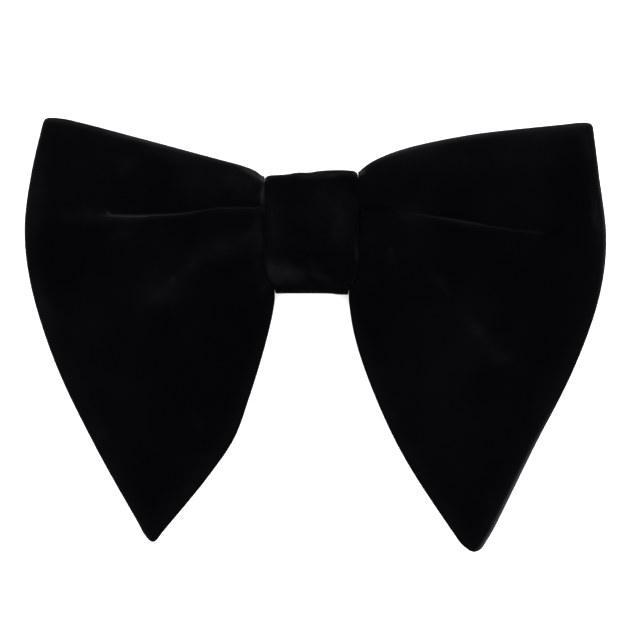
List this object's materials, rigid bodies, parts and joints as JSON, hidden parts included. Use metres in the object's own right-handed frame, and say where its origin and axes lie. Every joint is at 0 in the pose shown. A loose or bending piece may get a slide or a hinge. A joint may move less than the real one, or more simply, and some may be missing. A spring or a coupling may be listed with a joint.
{
  "type": "oversized bow tie",
  "caption": "Oversized black velvet bow tie with broad pointed wings, pleated once behind a wrapped knot band, with a plain collar clip held behind the waist.",
  "frame": {"origin": "centre of the overall box at the bottom, on the surface that the bow tie lies on", "axes": "+X across both wings towards the wing on the right of the picture, +Y towards the bow's top edge, +Z out of its front; it lies on its back"},
  "size_m": [0.1599, 0.119, 0.0184],
  "materials": {
    "velvet": "black cut-pile velvet, matte, with a faint grey sheen where the pile is seen side-on",
    "knot_velvet": "the same black velvet, wrapped and slightly crushed",
    "clip_steel": "plain satin spring steel"
  },
  "bodies": {
    "root": {"bow": "velvet", "knot_band": "knot_velvet", "collar_clip": "clip_steel"}
  },
  "joints": []
}
